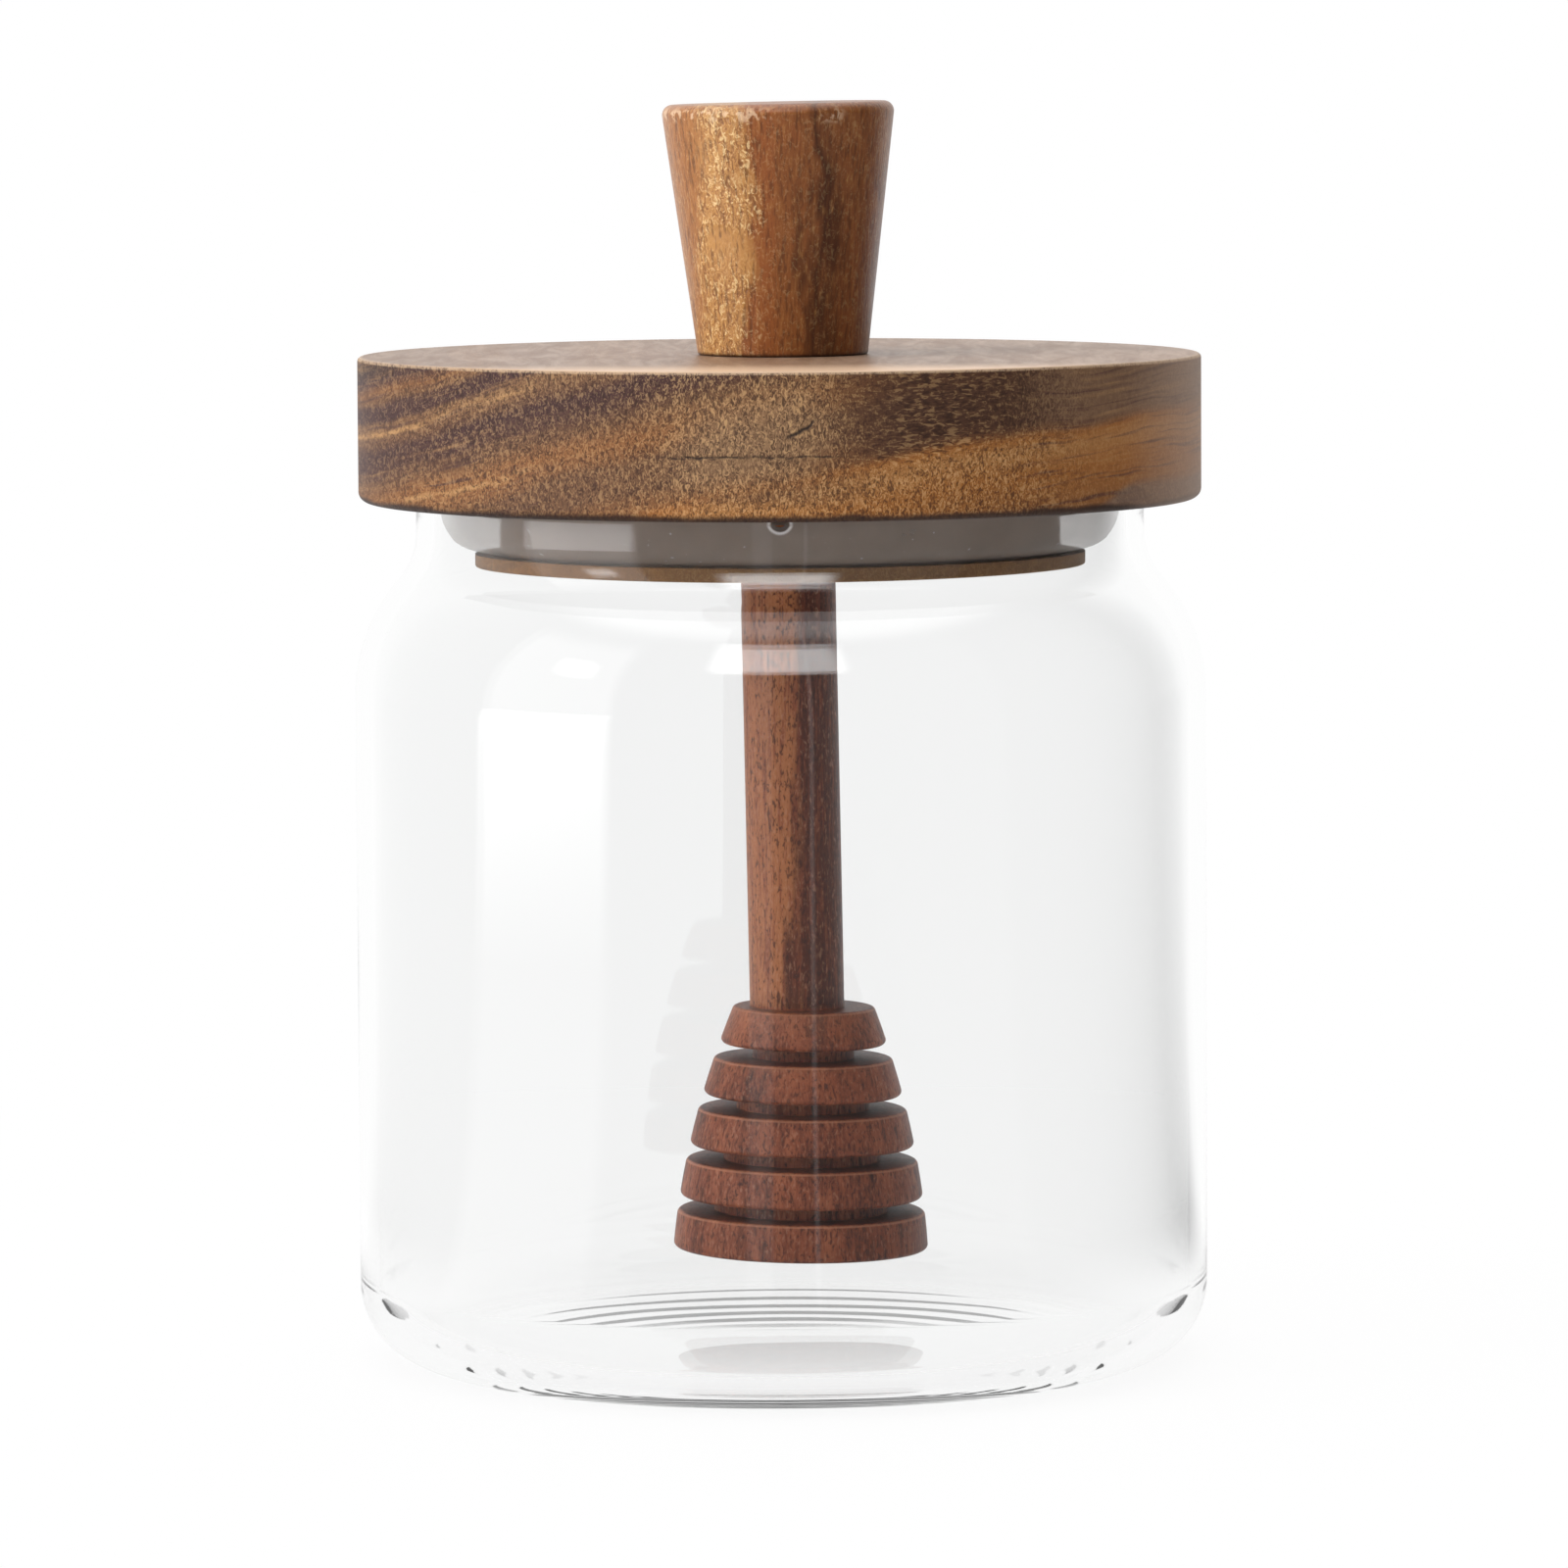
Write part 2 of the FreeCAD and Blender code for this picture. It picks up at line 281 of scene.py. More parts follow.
class Nodes:
    """Adds nodes to one tree and joins them."""

    def __init__(self, tree):
        self.tree = tree

    def add(self, kind, inputs=None, **settings):
        node = self.tree.nodes.new("ShaderNode" + kind)
        for key, value in settings.items():
            setattr(node, key, value)
        for key, value in (inputs or {}).items():
            self.put(node, key, value)
        return node

    def put(self, node, key, value):
        socket = node.inputs[key]
        if isinstance(value, bpy.types.NodeSocket):
            self.tree.links.new(value, socket)
        else:
            socket.default_value = value

    def math(self, operation, first, second=0.0, clamp=False):
        node = self.add("Math", {0: first, 1: second}, operation=operation, use_clamp=clamp)
        return node.outputs[0]

    def plus(self, first, second):
        return self.math("ADD", first, second)

    def minus(self, first, second):
        return self.math("SUBTRACT", first, second)

    def times(self, first, *others):
        for other in others:
            first = self.math("MULTIPLY", first, other)
        return first

    def most(self, first, second):
        return self.math("MAXIMUM", first, second)

    def size(self, vector):
        return self.add("VectorMath", {0: vector}, operation="LENGTH").outputs["Value"]

    def between(self, value, low, high, to_low=0.0, to_high=1.0):
        """Carries a value from one range to another, in a straight line."""
        node = self.add("MapRange", {"Value": value, "From Min": low, "From Max": high,
                                     "To Min": to_low, "To Max": to_high})
        return node.outputs["Result"]

    def ramp(self, factor, stops):
        node = self.add("ValToRGB", {"Fac": factor})
        elements = node.color_ramp.elements
        while len(elements) < len(stops):
            elements.new(0.5)
        for element, (position, shade) in zip(elements, stops):
            element.position = position
            if isinstance(shade, (int, float)):
                shade = (shade, shade, shade)
            element.color = (*shade[:3], 1.0)
        return node.outputs["Color"]

    def mix_values(self, factor, first, second):
        return self.add("Mix", {0: factor, 2: first, 3: second}, data_type="FLOAT").outputs[0]

    def mix(self, factor, first, second):
        node = self.add("Mix", {0: factor}, data_type="RGBA")
        for index, value in ((6, first), (7, second)):
            if not isinstance(value, bpy.types.NodeSocket):
                value = (*value[:3], 1.0)
            self.put(node, index, value)
        return node.outputs[2]

    def noise(self, vector, scale, detail=2.0, roughness=0.5, distortion=0.0):
        node = self.add("TexNoise", {"Vector": vector, "Scale": scale, "Detail": detail,
                                     "Roughness": roughness, "Distortion": distortion})
        return node.outputs["Fac"]

    def line_noise(self, value, scale, detail=1.0, roughness=0.5):
        node = self.add("TexNoise", {"W": value, "Scale": scale, "Detail": detail,
                                     "Roughness": roughness}, noise_dimensions="1D")
        return node.outputs["Fac"]

    def placed(self, vector, scale, rotation=(0, 0, 0)):
        node = self.add("Mapping", {"Vector": vector, "Rotation": rotation, "Scale": scale})
        return node.outputs["Vector"]

    def split(self, vector):
        return self.add("SeparateXYZ", {"Vector": vector}).outputs

    def step(self, value, low, high):
        """0 below low and 1 above high, smooth between them. A higher low turns it round."""
        node = self.add("MapRange", {"Value": value, "From Min": low, "From Max": high},
                        interpolation_type="SMOOTHSTEP")
        return node.outputs["Result"]

    def window(self, value, low, high, soft):
        """1 between low and high, with soft edges."""
        rise = self.step(value, low - soft, low + soft)
        fall = self.step(value, high - soft, high + soft)
        return self.math("SUBTRACT", rise, fall, clamp=True)

    def facing_up(self):
        return self.split(self.add("NewGeometry").outputs["Normal"])["Z"]


class MaterialNodes(Nodes):
    """The nodes of a new material, whose pattern follows the piece itself."""

    def __init__(self, name):
        self.material = bpy.data.materials.new(name)
        self.material.use_nodes = True
        super().__init__(self.material.node_tree)
        self.shader = self.tree.nodes["Principled BSDF"]
        self.place = self.add("TexCoord").outputs["Object"]

    def in_millimetres(self):
        """The place on the piece in millimetres, and its X, Y and Z."""
        place = self.placed(self.place, PER_MM)
        return place, *self.split(place)[:3]

    def finish(self, shade, rough, height, strength, distance):
        """Gives the surface its colour, roughness and relief, and returns its material."""
        self.put(self.shader, "Base Color", shade)
        self.put(self.shader, "Roughness", rough)
        bump = self.add("Bump", {"Height": height, "Strength": strength, "Distance": distance})
        self.put(self.shader, "Normal", bump.outputs["Normal"])
        return self.material


def blend(first, second, share):
    """A colour between two, nearer the second as the share grows."""
    return tuple(a + (b - a) * share for a, b in zip(first, second))


def glass_material(settings):
    """Clear glass with a faint ripple."""
    nodes = MaterialNodes("clear_glass")
    nodes.shader.inputs["IOR"].default_value = 1.47
    nodes.shader.inputs["Transmission Weight"].default_value = 1.0
    ripple = nodes.noise(nodes.placed(nodes.place, (1, 1, 0.5)), 38.0, 1.0)
    return nodes.finish((*settings.tint, 1.0), 0.0, ripple, 0.06, 0.0006)


def lid_material(settings):
    """Dark wood with its grain along Y: growth bands that climb to the right, over fine pores."""
    nodes = MaterialNodes("lid_wood")
    dark, mid, light = settings.dark, settings.mid, settings.light
    orange, tan = settings.orange, settings.tan
    plum = (dark[0] * 1.20, dark[1] * 1.00, dark[2] * 1.40)
    place, x, y, z = nodes.in_millimetres()
    # the level of a growth band, in millimetres over the table at the lid's middle
    climb = nodes.times(x, nodes.plus(nodes.times(x, -0.0015), 0.22))
    bend = nodes.noise(nodes.placed(place, (0.09, 0.02, 0.12)), 1.0, 2.0)
    bend = nodes.times(nodes.minus(bend, 0.5), 2.6)
    level = nodes.plus(nodes.minus(z, climb), bend)
    share = nodes.between(level, 92.0, 134.0)
    bands = nodes.ramp(share, [
        (0.02, mid), (0.10, blend(mid, orange, 0.5)), (0.15, blend(mid, orange, 0.8)),
        (0.214, orange), (0.286, blend(orange, light, 0.35)), (0.325, orange),
        (0.345, blend(mid, orange, 0.4)), (0.40, mid), (0.476, mid),
        (0.512, blend(mid, orange, 0.35)), (0.555, blend(mid, orange, 0.5)), (0.607, mid),
        (0.643, blend(mid, plum, 0.7)), (0.69, plum), (0.72, blend(mid, plum, 0.2)),
        (0.765, blend(mid, light, 0.15)), (0.786, plum), (0.817, plum), (0.838, mid),
        (0.862, blend(mid, orange, 0.3)), (0.89, plum), (0.93, dark), (0.97, mid), (1.0, plum)])
    # the orange band fades out at the middle
    plain = nodes.times(nodes.step(level, 107.0, 104.5), nodes.step(x, 15.0, -3.0))
    plain = nodes.times(plain, nodes.step(z, 102.6, 104.6))
    bands = nodes.mix(nodes.times(plain, 0.8), bands, mid)
    # right of the middle the wood is dark over the orange band, and tan left of that
    ragged = nodes.plus(x, nodes.times(bend, 3.0))
    gloom = nodes.times(nodes.step(ragged, 2.0, 14.0), nodes.step(level, 105.0, 107.4))
    shade = nodes.mix(nodes.step(x, 25.0, 34.0), (0.066, 0.027, 0.014), (0.170, 0.092, 0.050))
    gloom = nodes.times(gloom, 0.88)
    bands = nodes.mix(gloom, bands, shade)
    pale = nodes.times(nodes.window(level, 106.5, 116.5, 2.5), nodes.window(x, -11.0, 5.0, 4.5))
    bands = nodes.mix(nodes.times(pale, 0.75), bands, tan)
    # golden lines at the left
    glow = nodes.noise(nodes.placed(place, (0.5, 0.1, 1.2)), 1.0, 2.0)
    gold = nodes.most(nodes.window(level, 123.0, 123.5, 0.30),
                      nodes.window(level, 114.4, 114.9, 0.30))
    gold = nodes.times(gold, nodes.step(x, -24.0, -33.0))
    gold = nodes.times(gold, nodes.step(glow, 0.30, 0.55))
    bands = nodes.mix(nodes.times(gold, 0.75), bands, light)
    # thin lines along the bands
    along = nodes.add("CombineXYZ", {"X": nodes.times(x, 0.05),
                                     "Y": nodes.times(y, 0.02), "Z": level}).outputs[0]
    lines = nodes.noise(along, 1.9, 3.0, 0.6)
    ends = nodes.step(nodes.math("ABSOLUTE", x), 16.0, 36.0)
    lines = nodes.mix_values(ends, 0.5, lines)
    wood = nodes.mix(nodes.ramp(lines, [(0.34, 0.7), (0.48, 0.0)]), bands, plum)
    wood = nodes.mix(nodes.ramp(lines, [(0.56, 0.0), (0.72, 0.30)]), wood, light)
    # a greyer patch low at the right
    wedge = nodes.plus(x, nodes.times(z, -1.4))
    wedge = nodes.times(nodes.step(nodes.plus(wedge, bend), -107.5, -105.5),
                        nodes.step(z, 105.4, 103.8))
    wood = nodes.mix(nodes.times(wedge, 0.8), wood, (0.155, 0.098, 0.070))
    # short curled pores, thick at the middle and thin at the ends
    curls = nodes.noise(nodes.placed(place, (3.0, 0.30, 1.6), (0, 0.35, 0)), 1.0, 2.0, 0.6, 1.4)
    dashes = nodes.noise(nodes.placed(place, (1.0, 0.30, 2.7)), 1.0, 2.0, 0.6, 0.8)
    lying = nodes.times(nodes.window(ragged, 10.0, 25.0, 6.0), nodes.step(level, 103.5, 106.5))
    pores = nodes.mix_values(lying, curls, dashes)
    patchy = nodes.noise(nodes.placed(place, (0.16, 0.05, 0.22)), 1.0, 2.0)
    amount = nodes.times(nodes.step(x, 38.0, 24.0), nodes.step(x, -60.0, -34.0))
    amount = nodes.times(amount, nodes.step(patchy, 0.10, 0.45))
    amount = nodes.plus(nodes.times(amount, 0.80), 0.20)
    deep = nodes.times(nodes.ramp(pores, [(0.39, 1.0), (0.48, 0.0)]), amount)
    bright = nodes.times(nodes.ramp(pores, [(0.52, 0.0), (0.62, 1.0)]), amount)
    wood = nodes.mix(nodes.times(deep, 0.72), wood, (0.030, 0.012, 0.006))
    pale = nodes.mix(0.42, wood, (0.75, 0.46, 0.20))
    dull = nodes.plus(nodes.times(gloom, 0.45), nodes.times(nodes.step(x, -8.0, -22.0), 0.38))
    bright = nodes.times(bright, nodes.minus(0.85, dull))
    wood = nodes.mix(bright, wood, pale)
    # one long fine crack, one short one, and painted shade that darkens the lower edge
    wander = nodes.times(nodes.noise(place, 0.45, 2.0), 1.2)
    drawn = nodes.window(nodes.plus(z, wander), 109.20, 109.45, 0.12)
    drawn = nodes.times(drawn, nodes.window(x, -13.0, 7.0, 2.0))
    drawn = nodes.times(drawn, nodes.ramp(dashes, [(0.45, 1.0), (0.58, 0.35)]))
    short = nodes.plus(z, nodes.times(x, -0.62))
    short = nodes.window(nodes.plus(short, wander), 110.70, 111.05, 0.12)
    short = nodes.times(short, nodes.window(x, 0.9, 3.9, 0.5))
    front = nodes.step(y, -30.0, -42.0)
    cracks = nodes.times(nodes.most(drawn, short), front)
    wood = nodes.mix(nodes.times(cracks, 0.9), wood, (0.012, 0.006, 0.004))
    # painted shade: a patchy dark band along the lid's lower edge
    base = nodes.plus(z, nodes.times(nodes.minus(patchy, 0.5), -1.6))
    under = nodes.times(nodes.step(base, 102.5, 101.8), nodes.step(z, 101.0, 101.3))
    wood = nodes.mix(nodes.times(under, 0.9), wood, (0.026, 0.010, 0.006))
    # the lip under the seal is golden brown
    plug = nodes.mix(nodes.step(z, 97.0, 96.0), (0.46, 0.22, 0.08), (0.36, 0.19, 0.08))
    wood = nodes.mix(nodes.times(nodes.step(z, 101.2, 101.0), 0.6), wood, plug)
    # painted light: the plug seen through the vent notch is made bright orange, as if lit
    seen = nodes.times(nodes.window(x, -1.3, 1.3, 0.2), nodes.window(z, 99.4, 101.3, 0.1))
    seen = nodes.times(seen, nodes.step(y, -20.0, -30.0))
    wood = nodes.mix(nodes.times(seen, 0.9), wood, (0.80, 0.32, 0.10))
    # painted sheen: the right end is made greyer and paler
    wood = nodes.mix(nodes.times(nodes.step(x, 38.0, 49.0), 0.5), wood, (0.42, 0.29, 0.21))
    # sanded top: paler, partly as sanded face grain and partly as painted light, with soft streaks
    # and faint turning marks, a painted sheen at its front and a painted highlight along its edge
    up = nodes.facing_up()
    top = nodes.step(up, 0.6, 0.95)
    radius = nodes.size(nodes.placed(place, (1, 1, 0)))
    marks = nodes.line_noise(nodes.plus(radius, nodes.times(bend, 0.6)), 0.9, 2.0)
    streaks = nodes.noise(nodes.placed(place, (0.35, 0.05, 0)), 1.0, 4.0, 0.65, 0.6)
    sanded_and_lit = nodes.mix(0.30, settings.sanded_and_lit, wood)
    sanded_and_lit = nodes.mix(nodes.ramp(marks, [(0.35, 0.16), (0.58, 0.0)]), sanded_and_lit, mid)
    sanded_and_lit = nodes.mix(nodes.ramp(streaks, [(0.34, 0.35), (0.54, 0.0)]), sanded_and_lit, mid)
    sanded_and_lit = nodes.mix(nodes.ramp(streaks, [(0.50, 0.0), (0.72, 0.25)]),
                       sanded_and_lit, (0.55, 0.40, 0.30))
    # painted sheen: the front of the top is made paler
    painted_front_sheen = nodes.times(nodes.step(y, -26.0, -47.0), 0.9)
    sanded_and_lit = nodes.mix(painted_front_sheen, sanded_and_lit, (0.70, 0.48, 0.32))
    wood = nodes.mix(top, wood, sanded_and_lit)
    # painted highlight: a thin light line along the top edge
    edge = nodes.times(nodes.window(z, 117.95, 118.6, 0.10),
                       nodes.ramp(curls, [(0.35, 0.25), (0.5, 1.0)]))
    painted_edge_highlight = nodes.times(edge, nodes.step(radius, 48.6, 49.1))
    wood = nodes.mix(nodes.times(painted_edge_highlight, 0.6), wood, (0.50, 0.35, 0.22))
    nodes.shader.inputs["Specular IOR Level"].default_value = 0.28
    rough = nodes.between(pores, 0.0, 1.0, 0.64, 0.50)
    polish = nodes.between(streaks, 0.0, 1.0, 0.48, 0.32)
    rough = nodes.mix_values(top, rough, polish)
    height = nodes.minus(nodes.times(pores, amount), nodes.times(cracks, 0.8))
    calm = nodes.minus(1.0, nodes.times(top, 0.8))
    return nodes.finish(wood, rough, nodes.times(height, calm), 0.6, 0.00020)


def knob_material(settings):
    """Golden brown wood with upright streaks, a golden side and a dark one, and fine flecks. The
    golden side is partly grain and partly a painted highlight.
    """
    nodes = MaterialNodes("knob_wood")
    dark, mid, red, light = settings.dark, settings.mid, settings.red, settings.light
    place, x, _, z = nodes.in_millimetres()
    wave = nodes.noise(nodes.placed(place, (0.22, 0.22, 0.075)), 1.0, 2.0)
    fibre = nodes.noise(nodes.placed(place, (1.0, 1.0, 0.09), (0, 0.05, 0)), 1.0, 3.0)
    shift = nodes.plus(nodes.times(wave, 9.0), nodes.times(fibre, 4.0))
    across = nodes.plus(x, nodes.minus(shift, 6.5))
    share = nodes.between(across, -14.0, 14.0)
    # the golden side at the left is partly grain and partly a painted highlight
    wood = nodes.ramp(share, [
        (0.0, blend(red, light, 0.25)), (0.14, blend(red, light, 0.4)), (0.21, light),
        (0.33, blend(light, mid, 0.2)), (0.39, red), (0.47, red), (0.52, mid), (0.60, mid),
        (0.655, dark), (0.71, blend(dark, mid, 0.6)), (0.80, mid), (0.90, blend(dark, mid, 0.7)),
        (1.0, blend(mid, light, 0.2))])
    fine = nodes.noise(nodes.placed(place, (2.6, 2.6, 0.32)), 1.0, 3.0, 0.6, 0.3)
    wood = nodes.mix(nodes.ramp(fine, [(0.36, 0.6), (0.49, 0.0)]), wood, dark)
    wood = nodes.mix(nodes.ramp(fine, [(0.56, 0.0), (0.72, 0.4)]), wood, light)
    flecks = nodes.noise(nodes.placed(place, (1.9, 1.9, 1.3)), 1.0, 2.0, 0.65, 1.4)
    # painted highlight: the flecks are strongest, the light ones most, in a band on the golden side
    golden = nodes.times(nodes.window(across, -9.5, -3.0, 1.6),
                         nodes.step(nodes.noise(place, 0.16, 2.0), 0.34, 0.54))
    amount = nodes.plus(nodes.times(golden, 0.82), 0.18)
    deep = nodes.times(nodes.ramp(flecks, [(0.38, 1.0), (0.47, 0.0)]), amount)
    bright = nodes.times(nodes.ramp(flecks, [(0.54, 0.0), (0.66, 1.0)]), amount)
    wood = nodes.mix(nodes.times(deep, 0.65), wood, blend(dark, red, 0.5))
    wood = nodes.mix(nodes.times(bright, 0.75), wood, (0.82, 0.60, 0.30))
    # small chips where the upper edge is worn
    chips = nodes.noise(nodes.placed(place, (0.9, 0.9, 0.8)), 1.0, 2.0, 0.6, 0.5)
    chips = nodes.times(nodes.ramp(chips, [(0.50, 0.0), (0.58, 1.0)]),
                       nodes.window(z, 145.7, 147.1, 0.5))
    chips = nodes.times(chips, nodes.plus(nodes.step(x, 0.5, -2.0),
                                          nodes.window(x, 5.0, 7.5, 0.8)))
    wood = nodes.mix(nodes.times(chips, 0.5), wood, (0.80, 0.58, 0.38))
    rim = nodes.window(z, 147.0, 149.0, 0.4)
    wood = nodes.mix(nodes.times(rim, 0.25), wood, (0.26, 0.14, 0.10))
    # painted shadow: the foot of the knob is darkened where it meets the lid
    wood = nodes.mix(nodes.step(z, 118.9, 118.3), wood, blend(dark, (0.0, 0.0, 0.0), 0.5))
    nodes.shader.inputs["Specular IOR Level"].default_value = 0.45
    rough = nodes.between(flecks, 0.0, 1.0, 0.44, 0.26)
    height = nodes.plus(nodes.times(flecks, amount), nodes.times(fine, 0.6))
    return nodes.finish(wood, rough, height, 0.7, 0.00016)


def dipper_material(settings):
    """Reddish brown wood with fine upright fibres and short dark pores."""
    nodes = MaterialNodes("dipper_wood")
    dark, mid, light = settings.dark, settings.mid, settings.light
    place, x, _, z = nodes.in_millimetres()
    broad = nodes.noise(nodes.placed(place, (0.35, 0.35, 0.035)), 1.0, 2.0)
    fine = nodes.noise(nodes.placed(place, (2.4, 2.4, 0.16)), 1.0, 3.0, 0.6, 0.2)
    both = nodes.plus(nodes.times(broad, 0.5), nodes.times(fine, 0.5))
    wood = nodes.ramp(both, [(0.32, dark), (0.46, mid), (0.66, light)])
    # painted light and shade: the stick is lighter on one side and darker on the other
    side = nodes.plus(x, nodes.times(nodes.minus(broad, 0.5), 7.0))
    stick = nodes.mix(nodes.step(side, 0.6, 2.2), settings.stick_painted_light, settings.stick_painted_shade)
    stick = nodes.mix(nodes.ramp(fine, [(0.38, 0.75), (0.50, 0.0)]), stick, mid)
    wood = nodes.mix(nodes.step(z, *HEAD_TOP), wood, stick)
    pores = nodes.noise(nodes.placed(place, (3.0, 3.0, 1.1)), 1.0, 2.0, 0.6, 0.6)
    wood = nodes.mix(nodes.ramp(pores, [(0.36, 0.75), (0.45, 0.0)]), wood, dark)
    wood = nodes.mix(nodes.ramp(pores, [(0.57, 0.0), (0.68, 0.35)]), wood, (0.50, 0.24, 0.14))
    # painted shade: the tops of the rings are darker, inside a thin painted highlight along their
    # edges
    up = nodes.facing_up()
    head = nodes.step(z, *reversed(HEAD_TOP))
    wood = nodes.mix(nodes.times(nodes.step(up, 0.90, 0.97), head, 0.45), wood, dark)
    painted_rim_highlight = nodes.times(nodes.window(up, 0.40, 0.80, 0.12), head)
    wood = nodes.mix(nodes.times(painted_rim_highlight, 0.55), wood, (0.50, 0.21, 0.12))
    nodes.shader.inputs["Specular IOR Level"].default_value = 0.30
    rough = nodes.between(fine, 0.0, 1.0, 0.50, 0.38)
    height = nodes.plus(nodes.times(fine, 0.7), nodes.times(pores, 0.5))
    return nodes.finish(wood, rough, height, 0.5, 0.00012)


def silicone_material(settings):
    """Milky silicone: the wood inside and the white round it show through."""
    nodes = MaterialNodes("silicone")
    place, x, y, z = nodes.in_millimetres()
    cloud = nodes.noise(place, 0.25, 3.0)
    thin = blend(settings.body, (0.0, 0.0, 0.0), 0.12)
    shade = nodes.ramp(cloud, [(0.3, thin), (0.7, tuple(settings.body))])
    specks = nodes.ramp(nodes.noise(place, 1.3, 1.0), [(0.74, 0.0), (0.78, 1.0)])
    # the rim of the vent notch catches the light
    away = nodes.add("CombineXYZ", {"X": x, "Z": nodes.minus(z, NOTCH_LEVEL)}).outputs[0]
    away = nodes.size(away)
    rim = nodes.times(nodes.window(away, 1.15, 1.50, 0.15), nodes.step(z, NOTCH_LEVEL, 100.3))
    rim = nodes.times(rim, nodes.step(y, -30.0, -34.0))
    shade = nodes.mix(nodes.most(specks, rim), shade, (0.95, 0.93, 0.91))
    nodes.shader.inputs["IOR"].default_value = 1.41
    cover = nodes.plus(settings.cover, nodes.times(rim, 0.5))
    nodes.put(nodes.shader, "Alpha", cover)
    return nodes.finish(shade, 0.36, nodes.noise(place, 2.6, 2.0), 0.15, 0.0001)


def first_look(nodes):
    """Two masks, both off after a soft bounce: what shows straight or through glass, and what
    shows in a gloss. What a wall of glass has turned back once counts as gloss. The depths are
    whole numbers, so the limits lie between them."""
    rays = nodes.add("LightPath").outputs
    first = nodes.math("LESS_THAN", rays["Diffuse Depth"], 0.5)
    turned_back = nodes.window(rays["Glossy Depth"], 0.6, 1.4, 0.1)
    passed = rays["Is Transmission Ray"]
    first_wall = nodes.math("LESS_THAN", rays["Transmission Depth"], 2.5)
    returned = nodes.times(passed, turned_back, first_wall)
    through = nodes.most(rays["Is Camera Ray"], nodes.minus(passed, returned))
    # rays that pass through are marked glossy too, so those are taken out
    mirrored = nodes.minus(rays["Is Glossy Ray"], passed)
    gloss = nodes.most(mirrored, returned)
    return nodes.times(through, first), nodes.times(gloss, first)


def round_the_room(nodes, vector):
    """Where a direction lies round the room: 0 at the left, 0.25 at the front, 0.5 at the right."""
    return nodes.add("TexGradient", {"Vector": vector}, gradient_type="RADIAL").outputs["Fac"]


def room_tone(nodes, turn):
    """Brightness of the room round the pot, as a gloss shows it: white behind, darker in front."""
    tone = nodes.ramp(turn, [(0.0, 0.50), (0.119, 0.30), (0.13, 0.15), (0.419, 0.17),
                             (0.426, 0.05), (0.585, 0.05), (0.64, 1.0), (0.86, 1.0), (1.0, 0.50)])
    # two upright strips of light beside the camera
    strips = nodes.plus(nodes.times(nodes.window(turn, 0.226, 0.243, 0.002), 0.30),
                        nodes.times(nodes.window(turn, 0.2705, 0.2735, 0.0008), 0.50))
    return nodes.plus(tone, strips)


# ---- Pieces ----

def settings_of(context):
    return context.scene.honey_pot


class MakeJar(bpy.types.Operator):
    """Turns the glass jar from its outside and inside outlines."""
    bl_idname = "honey_pot.make_jar"
    bl_label = "Glass jar"

    def execute(self, context):
        s = settings_of(context).jar
        body = (JAR_HIGH.x - JAR_LOW.x) / 2
        top = JAR_HIGH.z
        neck = body - s.shoulder_step
        turn = math.acos(1 - s.shoulder_step / (s.body_arc + s.neck_arc))
        neck_corner = top - s.neck_height - s.neck_arc * math.tan(turn / 2)
        body_level = top - s.neck_height - (s.body_arc + s.neck_arc) * math.sin(turn)
        body_corner = body_level + s.body_arc * math.tan(turn / 2)
        # the inner wall runs parallel, so its corners move along the bisectors
        slip = s.wall * math.tan(turn / 2)
        foot_inside = body - s.heel - s.foot_width
        dome = (foot_inside ** 2 + s.push_up ** 2) / (2 * s.push_up)
        corners = [
            (0, s.push_up, 0),
            (foot_inside / 2, s.push_up, dome * FULL_ROUND),
            (foot_inside, 0, 0),
            (body, 0, s.heel),
            (body, body_corner, s.body_arc),
            (neck, neck_corner, s.neck_arc),
            (neck, top, s.rim_round),
            (neck - s.wall, top, s.rim_round),
            (neck - s.wall, neck_corner - slip, s.neck_arc + s.wall),
            (body - s.wall, body_corner - slip, s.body_arc - s.wall),
            (body - s.wall, s.floor, s.heel - s.wall),
            (0, s.floor, 0),
        ]
        bm = turned(corners)
        add_piece(bm, "jar_glass", "root", "glass_jar", glass_material(s), SHARP)
        return {"FINISHED"}


class MakeLid(bpy.types.Operator):
    """Turns the lid, the plug under it and the lip that holds the seal."""
    bl_idname = "honey_pot.make_lid"
    bl_label = "Wooden lid"

    def execute(self, context):
        s = settings_of(context).lid
        radius = (LID_HIGH.x - LID_LOW.x) / 2
        under = JAR_HIGH.z
        lip_top = LID_LOW.z + s.lip_height
        corners = [
            (0, LID_LOW.z, 0),
            (s.plug_radius, LID_LOW.z, s.lip_round),
            (s.plug_radius, lip_top, 0),
            (s.core_radius, lip_top, 0),
            (s.core_radius, under, 0),
            (radius, under, s.bottom_round),
            (radius, LID_HIGH.z, s.top_round),
            (0, LID_HIGH.z, 0),
        ]
        bm = turned(corners)
        add_piece(bm, "lid_wood", "root", "lid", lid_material(s), SHARP)
        return {"FINISHED"}


class MakeSeal(bpy.types.Operator):
    """Smooths a copy of the seal, with its vent notch."""
    bl_idname = "honey_pot.make_seal"
    bl_label = "Silicone seal"

    def execute(self, context):
        s = settings_of(context).seal
        bm = bmesh.new()
        bm.from_mesh(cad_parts["seal"].data)
        bmesh.ops.remove_doubles(bm, verts=bm.verts[:], dist=SAME)
        add_piece(bm, "seal_ring", "root", "seal", silicone_material(s), SEAL_SHARP)
        return {"FINISHED"}


